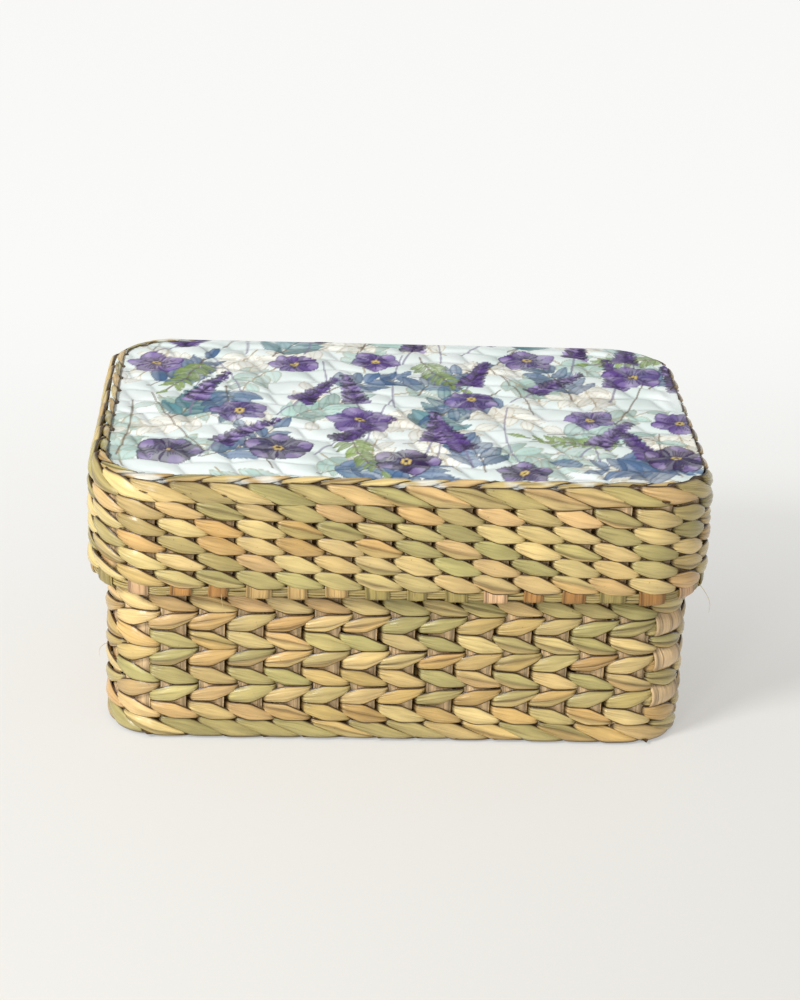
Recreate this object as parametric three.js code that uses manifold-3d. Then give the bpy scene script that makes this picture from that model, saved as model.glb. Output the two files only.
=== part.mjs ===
// Woven reed box with a lift-off lid, in millimetres, +Z up, front towards -Y.
// The origin is the middle of the box's underside.
//
// The box and the lid are twined baskets. Flat stakes turn up (or down) from a mat, every weft row
// runs round them with one strand outside and one inside, and at the rim each stake hooks outwards
// round thin reeds. Outside, a row shows one slanting leaf at every stake, where the strand comes
// out of the wall, passes over the stake and goes in again. A heavier border row covers the edge
// where the mat turns into the wall. A pasted paper print lies on the lid's top inside its border.

import * as THREE from "three";
import { mergeVertices } from "three/addons/utils/BufferGeometryUtils.js";
import Module from "manifold-3d";

const wasm = await Module();
wasm.setup();

// Driving dimensions
const BOX_LENGTH = 217.6;
const BOX_WIDTH = 152;
const BOX_HEIGHT = 100.6;
const BOX_CORNER_RADIUS = 22;
const LID_CLEARANCE = 0.6;

const STRAND_THICKNESS = 2.2;
const STAKE_THICKNESS = 0.9;
const STAKE_WIDTH = 8.4;
const STAKE_PITCH = 14.5;
const GAP = 0.3;

const BOX_ROWS = 12;
const BOX_BORDER_HEIGHT = 8;
const FLOOR_THICKNESS = 3.8;

const LID_ROWS = 5;
const LID_ROW_PITCH = 6.7;
const LID_BORDER_DROP = 5.6;
const LID_BORDER_WIDTH = 6.8;
const LID_BORDER_RISE = 1.8;
const TOP_THICKNESS = 3.4;
const PRINT_THICKNESS = 0.4;

const RIM_HEIGHT = 4.4;
const RIM_REEDS = 2;

// A leaf's ridge: how far its ends stay from the next leaf, as a share of the stakes' pitch, and
// from the row's edges, as a share of the row's height.
const LEAF_END = 0.12;
const LEAF_MARGIN = 0.24;

// Facets: each corner of a hoop is a quarter of a regular polygon.
const CORNER_STATIONS = 4;

// Where the corner centres lie, the same for the box and the lid
const CENTRE_X = BOX_LENGTH / 2 - BOX_CORNER_RADIUS;
const CENTRE_Y = BOX_WIDTH / 2 - BOX_CORNER_RADIUS;

// A basket wall is built outwards and inwards from its stakes. Radii are from a corner's centre.
const SIDE_BUILD = GAP + STRAND_THICKNESS;
const WALL = 2 * SIDE_BUILD + STAKE_THICKNESS;

function wallRadii(outside) {
  const stakeOutside = outside - SIDE_BUILD;
  const stakeInside = stakeOutside - STAKE_THICKNESS;
  return { outside, stakeOutside, stakeLine: (stakeOutside + stakeInside) / 2, stakeInside };
}

const boxWall = wallRadii(BOX_CORNER_RADIUS);
const lidWall = wallRadii(BOX_CORNER_RADIUS + LID_CLEARANCE + WALL);

// Heights
const BOX_ROWS_TOP = BOX_HEIGHT - RIM_HEIGHT;
const BOX_ROW_PITCH = (BOX_ROWS_TOP - BOX_BORDER_HEIGHT) / BOX_ROWS;
const TOP_UNDERSIDE = BOX_HEIGHT + GAP;
const TOP_SURFACE = TOP_UNDERSIDE + TOP_THICKNESS;
const BORDER_SEAT = TOP_SURFACE + GAP;
const LID_ROWS_TOP = TOP_SURFACE - LID_BORDER_DROP;
const LID_BOTTOM = LID_ROWS_TOP - LID_ROWS * LID_ROW_PITCH - RIM_HEIGHT;

// Materials, from the dried reed and the varnished paper
const reed = (color) => new THREE.MeshStandardMaterial({ color, roughness: 0.55, metalness: 0 });
const strawReed = reed(0xd2bd82);
const greenReed = reed(0xb9b07a);
const stakeReed = reed(0xb98d62);
const rimReed = reed(0xbfb27c);
const printPaper = new THREE.MeshStandardMaterial({ color: 0xd5e3e6, roughness: 0.4, metalness: 0 });

// Solids

function toSolid(geometry) {
  const bare = geometry.clone();
  bare.deleteAttribute("normal");
  bare.deleteAttribute("uv");
  const merged = mergeVertices(bare, 1e-4);
  const vertProperties = new Float32Array(merged.attributes.position.array);
  const triVerts = new Uint32Array(merged.index.array);
  const mesh = new wasm.Mesh({ numProp: 3, vertProperties, triVerts });
  mesh.merge();
  return new wasm.Manifold(mesh);
}

function toGeometry(positions, triangles) {
  const geometry = new THREE.BufferGeometry();
  geometry.setAttribute("position", new THREE.BufferAttribute(new Float32Array(positions), 3));
  geometry.setIndex(new THREE.BufferAttribute(new Uint32Array(triangles), 1));
  geometry.computeVertexNormals();
  return geometry;
}

function solidGeometry(solid) {
  const { vertProperties, triVerts } = solid.getMesh();
  return toGeometry(vertProperties, triVerts);
}

// Hoops and plates

// The polygon's corners lie outside the round corner, so that its flats have the stated radius.
const STATION_ANGLE = Math.PI / 2 / CORNER_STATIONS;
const CIRCUMSCRIBE = 1 / Math.cos(STATION_ANGLE / 2);

// A closed profile of [radius, height] points, turned into a ring and pulled apart at its four
// quarters into a rounded rectangle.
function hoop(profile) {
  const points = [...profile, profile[0]].map(([r, z]) => new THREE.Vector2(r * CIRCUMSCRIBE, z));
  const ring = new THREE.LatheGeometry(points, 4 * CORNER_STATIONS, STATION_ANGLE / 2);
  ring.rotateX(Math.PI / 2);
  const position = ring.getAttribute("position");
  for (let i = 0; i < position.count; i++) {
    position.setX(i, position.getX(i) + Math.sign(position.getX(i)) * CENTRE_X);
    position.setY(i, position.getY(i) + Math.sign(position.getY(i)) * CENTRE_Y);
  }
  return ring;
}

// A flat plate with the outline of a hoop of that radius
function plate(radius, bottom, thickness) {
  const outline = new THREE.Shape();
  for (let i = 0; i < 4 * CORNER_STATIONS; i++) {
    const angle = (i + 0.5) * STATION_ANGLE;
    const x = radius * CIRCUMSCRIBE * Math.cos(angle);
    const y = radius * CIRCUMSCRIBE * Math.sin(angle);
    const corner = [x + Math.sign(x) * CENTRE_X, y + Math.sign(y) * CENTRE_Y];
    if (i === 0) outline.moveTo(...corner);
    else outline.lineTo(...corner);
  }
  const slab = new THREE.ExtrudeGeometry(outline, { depth: thickness, bevelEnabled: false });
  return slab.translate(0, 0, bottom);
}

// The way round a wall

// A wall's stakes stand at equal steps along its stake line.
function stakeLine(wall) {
  const bend = (Math.PI / 2) * wall.stakeLine;
  const quarter = CENTRE_X + bend + CENTRE_Y;
  const count = 2 * Math.round((2 * quarter) / STAKE_PITCH);
  return { bend, quarter, count, step: (4 * quarter) / count };
}

// The place at a distance along the stake line from the middle of the front side: a point on the
// rectangle through the corner centres, and the direction that looks out of the wall there.
function placeAt(wall, distance) {
  const { bend, quarter } = stakeLine(wall);
  const half = Math.floor(distance / (2 * quarter));
  const inHalf = distance - half * 2 * quarter;
  const mirrored = inHalf > quarter;
  const run = mirrored ? 2 * quarter - inHalf : inHalf;
  const swing = Math.min(Math.max((run - CENTRE_X) / wall.stakeLine, 0), Math.PI / 2);
  const x = Math.min(run, CENTRE_X);
  const y = Math.max(run - CENTRE_X - bend, 0) - CENTRE_Y;
  const turn = half ? -1 : 1;
  const flip = mirrored ? -turn : turn;
  const direction = Math.atan2(-flip * Math.cos(swing), turn * Math.sin(swing));
  return { x: turn * x, y: flip * y, direction, straight: swing === 0 || swing === Math.PI / 2 };
}

// A point at a radius and height over such a place
function pointAt({ x, y, direction }, radius, height) {
  return [x + radius * Math.cos(direction), y + radius * Math.sin(direction), height];
}

// A closed line round the wall that lies flat against the stakes: the polygon's corners, and on the
// straight sides one point between every two stakes.
function seatLine(wall, [radius, height]) {
  const { bend, quarter, count, step } = stakeLine(wall);
  const line = [];
  for (let i = 0; i < count; i++) {
    const place = placeAt(wall, i * step);
    if (place.straight) line.push({ along: i * step, point: pointAt(place, radius, height) });
  }
  for (let corner = 0; corner < 4; corner++) {
    const middle = (corner + (corner % 2 ? CENTRE_Y : CENTRE_X) / quarter) * quarter + bend / 2;
    for (let i = 0; i < CORNER_STATIONS; i++) {
      const along = middle + bend * ((i + 0.5) / CORNER_STATIONS - 0.5);
      line.push({ along, point: pointAt(placeAt(wall, along), radius * CIRCUMSCRIBE, height) });
    }
  }
  return line.sort((a, b) => a.along - b.along);
}

// The leaves' ridges, one behind another, joined into one closed line
function ridgeLine(wall, start, end) {
  const { count, step } = stakeLine(wall);
  const line = [];
  for (let i = 0; i < count; i++) {
    const ends = [[i + LEAF_END, start], [i + 1 - LEAF_END, end]];
    for (const [steps, [radius, height]] of ends) {
      const along = steps * step;
      line.push({ along, point: pointAt(placeAt(wall, along), radius, height) });
    }
  }
  return line;
}

// A solid whose section is given by closed lines that run round the wall beside each other.
// Neighbouring lines are joined by triangles in the order in which their points come.
function joinLines(wall, lines) {
  const round = 4 * stakeLine(wall).quarter;
  const positions = lines.flat().flatMap(({ point }) => point);
  const triangles = [];
  let first = 0;
  const numbered = lines.map((line) => {
    const closed = [...line, line[0]].map(({ along }, i) => ({
      along: along + (i === line.length ? round : 0),
      index: first + (i % line.length),
    }));
    first += line.length;
    return closed;
  });
  numbered.forEach((low, i) => {
    const high = numbered[(i + 1) % numbered.length];
    let a = 0;
    let b = 0;
    while (a < low.length - 1 || b < high.length - 1) {
      const lowNext = low[a + 1]?.along ?? Infinity;
      const highNext = high[b + 1]?.along ?? Infinity;
      if (lowNext <= highNext) triangles.push(low[a].index, low[++a].index, high[b].index);
      else triangles.push(low[a].index, high[b + 1].index, high[b++].index);
    }
  });
  return toGeometry(positions, triangles);
}

// Strands

// A row seen from outside. slant is -1 where its leaves fall to the right and 1 where they rise.
function outerStrand(wall, bottom, height, slant) {
  const face = wall.stakeOutside + GAP;
  const low = bottom + LEAF_MARGIN * height;
  const high = bottom + (1 - LEAF_MARGIN) * height;
  const [start, end] = slant > 0 ? [low, high] : [high, low];
  return joinLines(wall, [
    seatLine(wall, [face, bottom]),
    ridgeLine(wall, [wall.outside, start], [wall.outside, end]),
    seatLine(wall, [face, bottom + height]),
  ]);
}

// The same row inside the wall, drawn tight
function innerStrand(wall, bottom, height) {
  const face = wall.stakeInside - GAP;
  return hoop([
    [face, bottom + height],
    [face - STRAND_THICKNESS, bottom + height / 2],
    [face, bottom],
  ]);
}

// The lid's border rolls over the edge of the top: down the wall outside the stakes, and in over
// the mat. Its leaves fall to the right under the crown of the roll.
function lidBorder() {
  const face = lidWall.stakeOutside + GAP;
  const crown = BORDER_SEAT + LID_BORDER_RISE;
  const margin = LEAF_MARGIN * (crown - LID_ROWS_TOP);
  return joinLines(lidWall, [
    seatLine(lidWall, [face, LID_ROWS_TOP]),
    ridgeLine(lidWall, [lidWall.outside, crown - margin], [lidWall.outside, LID_ROWS_TOP + margin]),
    seatLine(lidWall, [face, crown]),
    seatLine(lidWall, [lidWall.outside - LID_BORDER_WIDTH, BORDER_SEAT]),
    seatLine(lidWall, [face, BORDER_SEAT]),
  ]);
}

// Stakes

// The stakes of a wall: a hoop with the stakes' profile, kept only where a stake stands.
function stakes(wall, profile) {
  const { count, step } = stakeLine(wall);
  const heights = profile.map(([, z]) => z);
  const middle = (Math.max(...heights) + Math.min(...heights)) / 2;
  const kept = [];
  for (let i = 0; i < count; i++) {
    const place = placeAt(wall, (i + 0.5) * step);
    const slot = new THREE.BoxGeometry(2 * WALL, STAKE_WIDTH, 2 * BOX_HEIGHT);
    kept.push(toSolid(slot.rotateZ(place.direction).translate(...pointAt(place, wall.stakeLine, middle))));
  }
  return toSolid(hoop(profile)).intersect(wasm.Manifold.union(kept));
}

// A stake's profile from the mat to the rim, where it turns outwards and back round the reeds.
// way is 1 for a stake that stands up and -1 for one that hangs down.
function stakeProfile(wall, root, rim, way) {
  const turnInside = wall.outside - STAKE_THICKNESS;
  const underTurn = rim - way * STAKE_THICKNESS;
  const hookEnd = rim - way * (RIM_HEIGHT - GAP);
  const profile = [
    [wall.stakeInside, root],
    [wall.stakeOutside, root],
    [wall.stakeOutside, underTurn],
    [turnInside, underTurn],
    [turnInside, hookEnd],
    [wall.outside, hookEnd],
    [wall.outside, rim],
    [wall.stakeInside, rim],
  ];
  return way > 0 ? profile : profile.reverse();
}

// A mat with the stakes that turn out of its edge
function matAndStakes(wall, bottom, thickness, rim, way) {
  const mat = toSolid(plate(wall.stakeOutside, bottom, thickness));
  const root = bottom + thickness / 2;
  return solidGeometry(mat.add(stakes(wall, stakeProfile(wall, root, rim, way))));
}

// One of the reeds that lie above each other in the hooks of a rim
function rimHoop(wall, bottom, index) {
  const pitch = (RIM_HEIGHT - STAKE_THICKNESS - GAP) / RIM_REEDS;
  const inside = wall.stakeOutside + GAP;
  const outside = wall.outside - STAKE_THICKNESS - GAP;
  const low = bottom + index * pitch;
  const high = low + pitch - GAP;
  return hoop([[inside, low], [outside, low], [outside, high], [inside, high]]);
}

// Assembly

const wovenBox = new THREE.Group();
wovenBox.name = "woven_box";

function add(parent, name, geometry, material) {
  const mesh = new THREE.Mesh(geometry, material);
  mesh.name = name;
  parent.add(mesh);
}

const rowName = (owner, number, side) => `${owner}_row_${String(number).padStart(2, "0")}_${side}`;
const reedNames = ["lower", "upper"];

function addRimReeds(parent, owner, wall, bottom) {
  for (let i = 0; i < RIM_REEDS; i++) {
    add(parent, `${owner}_rim_reed_${reedNames[i] ?? i + 1}`, rimHoop(wall, bottom, i), rimReed);
  }
}

function boxBody() {
  const box = new THREE.Group();
  const cage = matAndStakes(boxWall, 0, FLOOR_THICKNESS, BOX_HEIGHT, 1);
  add(box, "box_floor_and_stakes", cage, stakeReed);

  const borderHeight = BOX_BORDER_HEIGHT - GAP;
  add(box, "box_border_outer", outerStrand(boxWall, 0, borderHeight, -1), strawReed);
  const inside = FLOOR_THICKNESS + GAP;
  add(box, "box_border_inner", innerStrand(boxWall, inside, borderHeight - inside), strawReed);

  for (let row = 0; row < BOX_ROWS; row++) {
    const bottom = BOX_BORDER_HEIGHT + row * BOX_ROW_PITCH;
    const height = BOX_ROW_PITCH - GAP;
    const slant = row % 2 ? 1 : -1;
    const material = row % 2 ? greenReed : strawReed;
    add(box, rowName("box", row + 1, "outer"), outerStrand(boxWall, bottom, height, slant), material);
    add(box, rowName("box", row + 1, "inner"), innerStrand(boxWall, bottom, height), material);
  }
  addRimReeds(box, "box", boxWall, BOX_ROWS_TOP);
  return box;
}

function lidBody() {
  const lid = new THREE.Group();
  const cage = matAndStakes(lidWall, TOP_UNDERSIDE, TOP_THICKNESS, LID_BOTTOM, -1);
  add(lid, "lid_top_and_stakes", cage, stakeReed);

  add(lid, "lid_border_outer", lidBorder(), strawReed);
  const innerHeight = TOP_UNDERSIDE - GAP - LID_ROWS_TOP;
  add(lid, "lid_border_inner", innerStrand(lidWall, LID_ROWS_TOP, innerHeight), strawReed);

  for (let row = 0; row < LID_ROWS; row++) {
    const bottom = LID_ROWS_TOP - (row + 1) * LID_ROW_PITCH;
    const height = LID_ROW_PITCH - GAP;
    const material = row % 2 ? greenReed : strawReed;
    add(lid, rowName("lid", row + 1, "outer"), outerStrand(lidWall, bottom, height, -1), material);
    add(lid, rowName("lid", row + 1, "inner"), innerStrand(lidWall, bottom, height), material);
  }
  addRimReeds(lid, "lid", lidWall, LID_BOTTOM + STAKE_THICKNESS + GAP);

  const printRadius = lidWall.outside - LID_BORDER_WIDTH - GAP;
  add(lid, "lid_print_sheet", plate(printRadius, TOP_SURFACE, PRINT_THICKNESS), printPaper);
  return lid;
}

wovenBox.add(boxBody(), lidBody());

export default wovenBox;
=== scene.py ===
"""A twined reed box with a deep lift-off lid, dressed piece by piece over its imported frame."""

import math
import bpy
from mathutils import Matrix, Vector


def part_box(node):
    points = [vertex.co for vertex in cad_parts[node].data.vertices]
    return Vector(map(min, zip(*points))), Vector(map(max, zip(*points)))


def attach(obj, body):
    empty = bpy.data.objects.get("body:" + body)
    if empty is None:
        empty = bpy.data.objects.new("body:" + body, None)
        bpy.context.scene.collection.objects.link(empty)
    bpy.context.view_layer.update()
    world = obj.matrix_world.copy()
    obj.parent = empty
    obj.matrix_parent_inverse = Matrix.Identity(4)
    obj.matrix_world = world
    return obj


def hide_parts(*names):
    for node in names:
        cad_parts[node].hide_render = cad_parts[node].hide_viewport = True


bl_info = {
    "name": "Twined Reed Box",
    "version": (1, 0, 0),
    "blender": (4, 5, 0),
    "location": "3D View > Sidebar > Reed Box",
    "description": "Builds the twined rows, stakes, rims, mats and printed lid of a woven box",
    "category": "Add Mesh",
}

from dataclasses import dataclass

import bmesh
import bpy
import numpy as np
from bpy.props import FloatProperty, FloatVectorProperty, IntProperty, PointerProperty
from mathutils import Matrix, Vector

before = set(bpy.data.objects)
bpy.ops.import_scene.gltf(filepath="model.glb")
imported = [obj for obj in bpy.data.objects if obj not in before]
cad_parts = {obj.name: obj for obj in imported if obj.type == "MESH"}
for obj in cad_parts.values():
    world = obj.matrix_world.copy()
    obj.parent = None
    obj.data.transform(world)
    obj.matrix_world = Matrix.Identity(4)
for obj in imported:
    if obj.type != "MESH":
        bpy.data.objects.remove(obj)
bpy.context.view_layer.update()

MM = 0.001
GRAIN_GROUP = "Reed Grain"

# How far the stakes of each wall are moved along it, to stand where the front shows them.
STAKE_SHIFT = {"box": -5.3 * MM, "lid": -1.5 * MM}
# Length of reed that takes one unit of the grain.
GRAIN_LENGTH = 14.5 * MM
# How far leaves differ from one another, and the share of them that is folded along its length.
LEAF_WANDER = 0.13 * MM
LEAF_TWIST = 0.10
FOLDED_SHARE = 0.28
# Widths of the dark lines along a leaf's edges and at its ends, as shares of its size. These lines are
# painted shade where leaves meet their neighbours and dive between the stakes, with some real browning at the
# edges.
EDGE_LINE = 0.17
END_LINE = 0.035


def tone(red, green, blue):
    """Turn a colour as seen on a screen, 0 to 255, into the linear colour that shaders take."""
    share = np.array([red, green, blue]) / 255
    return tuple(np.where(share <= 0.04045, share / 12.92, ((share + 0.055) / 1.055) ** 2.4))


def length(name, description, default):
    """A length that the user can set, given in millimetres."""
    return FloatProperty(name=name, description=description, default=default * MM, unit="LENGTH",
                         precision=5)


def colour(name, description, *default):
    """A colour that the user can set, given as it is seen on a screen."""
    return FloatVectorProperty(name=name, description=description, default=tone(*default), subtype="COLOR",
                               min=0.0, max=1.0)


# Settings


class WeaveSettings(bpy.types.PropertyGroup):
    """Sizes of the reeds and of the way they are twined."""

    corner_radius: length("Corner radius", "Outside radius of the box's upright corners", 22.0)
    half_wall: length("Half wall", "From the middle of the stakes to the outside of the wall", 2.95)
    stake_step: length("Stake step", "Distance from one stake to the next", 14.5)
    stake_width: length("Stake width", "Width of a flat stake", 9.8)
    stake_thickness: length("Stake thickness", "Thickness of a flat stake", 0.9)
    leaf_height: length("Leaf height", "Height of the band that a box reed crosses over a stake", 7.45)
    lid_leaf_height: length("Lid leaf height", "Height of the band that a lid reed crosses over a stake", 7.9)
    leaf_thickness: length("Leaf thickness", "Thickness of a reed where it lies over a stake", 2.3)
    blunt_height: length("Blunt height", "Height of a reed where it comes out between two stakes", 4.2)
    tip_height: length("Tip height", "Height of a reed where it dives between two stakes", 2.3)
    belly: length("Belly", "How far the middle of a leaf stands out beyond its ends", 1.1)
    back_height: length("Back height", "Height of a reed where it lies behind a stake", 7.6)
    mat_row: length("Mat row", "Distance between the twined rows of the mats", 7.3)
    stake_out: length("Stake out", "How far the stakes lie in front of the middle of the wall", 0.9)
    seed: IntProperty(name="Seed", description="Picks another set of irregularities", default=11, min=0)


class ReedColours(bpy.types.PropertyGroup):
    """Colours of the dried reeds."""

    straw: colour("Straw", "The palest reeds", 230, 203, 138)
    olive: colour("Olive", "Reeds that dried green", 187, 174, 112)
    tan: colour("Tan", "Reeds that dried brown", 214, 175, 108)
    blush: colour("Blush", "Reeds with a pink cast", 222, 184, 126)
    # Painted shade and real marks: this dark brown paints the shade in creases, gaps, pleats, at leaf edges
    # and at the foot, and also the real specks and fibre lines.
    shade_and_speck: colour("Crease", "Creases, edges and specks", 56, 29, 6)
    stake: colour("Stake", "The pithy face of the stakes", 248, 214, 164)
    wrap_tan: colour("Tan wrap", "Stake ends that dried tan", 206, 172, 112)
    wrap_pale: colour("Pale wrap", "Stake ends that dried pale and pink", 220, 180, 136)
    wrap_brown: colour("Brown wrap", "Stake ends that dried brown", 186, 136, 76)
    wrap_olive: colour("Olive wrap", "Stake ends that dried green", 178, 160, 96)
    rim: colour("Rim", "Thin reeds in the rims", 184, 163, 100)


class PrintColours(bpy.types.PropertyGroup):
    """Colours of the pasted paper on the lid."""

    paper: colour("Paper", "Bare paper under its varnish", 244, 251, 248)
    violet: colour("Violet", "Petals", 98, 70, 142)
    plum: colour("Plum", "Hearts of the petals and buds", 58, 38, 86)
    lilac: colour("Lilac", "Petal tips", 168, 146, 204)
    slate: colour("Slate", "Blue leaves", 82, 112, 150)
    teal: colour("Teal", "Green-blue leaves", 84, 138, 148)
    mint: colour("Mint", "Pale green leaves", 170, 202, 192)
    lime: colour("Lime", "Young leaves", 150, 176, 92)
    cream: colour("Cream", "Pale leaves behind the others", 242, 240, 228)
    ochre: colour("Ochre", "Outlines of the pale leaves", 170, 146, 98)
    stem: colour("Stem", "Brown stems", 112, 88, 66)
    dusk: colour("Dusk", "Lavender-grey stems", 136, 128, 158)
    anther: colour("Anther", "Dots in the middle of a blossom", 226, 200, 116)


class StageSettings(bpy.types.PropertyGroup):
    """Floor, lamps and camera."""

    floor: colour("Floor", "Pale floor", 233, 231, 226)
    far: colour("Far floor", "Floor far behind the box", 252, 252, 250)
    camera_place: FloatVectorProperty(name="Camera place", description="Where the camera stands",
                                      default=(-0.0444, -0.9774, 0.4659), unit="LENGTH")
    camera_turn: FloatVectorProperty(name="Camera turn", description="Yaw to the right, pitch down and roll",
                                     default=tuple(math.radians(a) for a in (2.736, 22.156, 2.15)),
                                     subtype="EULER")
    lens: FloatProperty(name="Lens", description="Focal length in millimetres", default=96.4)
    key_power: FloatProperty(name="Key power", description="Watts of the large lamp on the left",
                             default=22.0)
    fill_power: FloatProperty(name="Fill power", description="Watts of the lamp beside the camera",
                              default=4.0)
    sky: FloatProperty(name="Sky", description="Strength of the even light from all round", default=0.46)


# Ways round the walls


class WallPath:
    """A rounded rectangle, walked from the middle of the front to the right as seen from outside."""

    def __init__(self, centre_x, centre_y, radius, shift=0.0):
        self.centre_x = centre_x
        self.centre_y = centre_y
        self.radius = radius
        self.bend = radius * math.pi / 2
        self.length = 4 * (centre_x + centre_y + self.bend)
        self.shift = shift
        self.closed = True

    def from_corner(self, distance):
        """Give how far these distances are from the middle of the nearest rounded corner."""
        half = self.length / 2
        within = np.mod(distance + self.shift, half)
        return np.abs(np.minimum(within, half - within) - self.centre_x - self.bend / 2)

    def at(self, distance):
        """Give the points at these distances, and the directions that look out of the wall there."""
        quarter = self.length / 4
        distance = np.mod(distance + self.shift, self.length)
        turn = np.where(distance < 2 * quarter, 1.0, -1.0)
        within = np.mod(distance, 2 * quarter)
        flip = np.where(within > quarter, -turn, turn)
        run = np.where(within > quarter, 2 * quarter - within, within)
        swing = np.clip((run - self.centre_x) / self.radius, 0, math.pi / 2)
        out = np.stack([turn * np.sin(swing), -flip * np.cos(swing)], axis=-1)
        x = turn * np.minimum(run, self.centre_x)
        y = flip * (np.maximum(run - self.centre_x - self.bend, 0) - self.centre_y)
        return np.stack([x, y], axis=-1) + self.radius * out, out


class MatPath:
    """A straight way across a mat, to the right at one distance from the front."""

    def __init__(self, start, y, length=0.0):
        self.start = start
        self.y = y
        self.length = length
        self.closed = False

    def at(self, distance):
        """Give the points at these distances, and the direction towards the front."""
        out = np.zeros((len(distance), 2))
        out[:, 1] = -1
        return np.stack([self.start + distance, np.full(len(distance), self.y)], axis=-1), out


def corner_centres(weave):
    """Give the middles of the upright corners, which the box and the lid share."""
    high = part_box("box_row_01_outer")[1]
    return high[0] - weave.corner_radius, high[1] - weave.corner_radius


def wall_path(weave, owner):
    """Give the line of the stakes in the wall of the box or of the lid."""
    centre_x, centre_y = corner_centres(weave)
    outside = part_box(f"{owner}_row_01_outer")[1][0] - centre_x
    return WallPath(centre_x, centre_y, outside - weave.half_wall, STAKE_SHIFT[owner])


def stake_count(weave, path):
    """Give the number of stakes, which is even so that a twined pair closes on itself."""
    return 2 * round(path.length / 2 / weave.stake_step)


# Meshes


class Reeds:
    """Gathers swept reeds, each a grid of points, and makes one piece of them."""

    def __init__(self):
        self.points = []
        self.grain = []
        self.tint = []
        self.wear = []

    def add(self, points, grain, tint, wear):
        """Add a reed: points by station and side, grain along and round it, colour and wear at each."""
        self.points.append(points)
        self.grain.append(np.broadcast_to(grain, (*points.shape[:2], 2)))
        self.tint.append(np.broadcast_to(tint, points.shape))
        self.wear.append(np.broadcast_to(wear, points.shape[:2]))

    def make(self, name, material, body, slot, *nodes):
        """Make the piece: a bmesh grid for each reed, moved to its points and closed at its seams."""
        bm = bmesh.new()
        bm.loops.layers.uv.new("Grain")
        for points in self.points:
            stations, sides = points.shape[:2]
            bmesh.ops.create_grid(bm, x_segments=sides - 1, y_segments=stations - 1, size=1.0)
        mesh = bpy.data.meshes.new(name)
        bm.to_mesh(mesh)
        bm.free()

        places = np.concatenate([p.reshape(-1, 3) for p in self.points])
        mesh.vertices.foreach_set("co", places.astype(np.float32).ravel())
        tint = np.concatenate([t.reshape(-1, 3) for t in self.tint])
        tint = np.concatenate([tint, np.ones((len(tint), 1))], axis=1)
        mesh.attributes.new("tint", "FLOAT_COLOR", "POINT").data.foreach_set("color", tint.ravel())
        wear = np.concatenate([w.ravel() for w in self.wear])
        mesh.attributes.new("wear", "FLOAT", "POINT").data.foreach_set("value", wear)
        grain = np.concatenate([g.reshape(-1, 2) for g in self.grain])
        corners = np.empty(len(mesh.loops), dtype=np.int32)
        mesh.loops.foreach_get("vertex_index", corners)
        mesh.uv_layers["Grain"].data.foreach_set("uv", grain[corners].astype(np.float32).ravel())
        close_seams(mesh)
        return place_piece(mesh, material, body, nodes)


def close_seams(mesh):
    """Merge the points that meet at seams and tips, and turn all faces outwards."""
    bm = bmesh.new()
    bm.from_mesh(mesh)
    bmesh.ops.remove_doubles(bm, verts=bm.verts, dist=0.002 * MM)
    bmesh.ops.recalc_face_normals(bm, faces=bm.faces)
    bm.to_mesh(mesh)
    bm.free()


def place_piece(mesh, material, body, nodes):
    """Put a finished mesh into the scene, on its body and in place of its nodes."""
    mesh.shade_smooth()
    mesh.materials.append(material)
    piece = bpy.data.objects.new(mesh.name, mesh)
    bpy.context.scene.collection.objects.link(piece)
    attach(piece, body)
    if nodes:
        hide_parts(*nodes)
    return piece


def smooth(share):
    """Ease a share from 0 to 1."""
    share = np.clip(share, 0, 1)
    return share * share * (3 - 2 * share)


# Twined rows


@dataclass
class Lay:
    """How the reeds of a row are twined, in metres from the middle of the row on its stakes."""

    strands: int
    half: float
    reach: float
    blunt: float
    tip: float
    thick: float
    slant: int
    tilt: float = 0.0
    outside: float = 0.67
    flat: float = 0.48
    low: float = 0.44
    come: float = 0.05
    dive: float = 0.07
    belly: float = 0.0
    back_height: float = 0.9
    showing: int = 18
    hidden: int = 5
    front_sides: int = 22
    back_sides: int = 7


def row_lay(weave, slant, high, belly=0.0):
    """Give the lay of a twined pair on a wall."""
    thick = weave.leaf_thickness / 2
    return Lay(strands=2, half=high / 2, reach=weave.half_wall - thick, blunt=weave.blunt_height,
               tip=weave.tip_height, thick=thick, slant=slant, belly=belly,
               back_height=weave.back_height / high)


def leaf_way(lay):
    """Give the stations of a leaf: 0 where it comes out, 1 where it dives, and up to 2 behind the stakes."""
    share = np.arange(lay.showing) / lay.showing
    eased = 0.5 - 0.5 * np.cos(math.pi * share)
    return np.concatenate([0.35 * share + 0.65 * eased, 1 + np.arange(lay.hidden) / lay.hidden])


def ramp(share):
    """Give about 0 below 0 and the share itself above, with a rounded bend between."""
    bend = 0.12
    return (share + np.sqrt(share * share + bend * bend)) / (1 + math.sqrt(1 + bend * bend))


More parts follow.
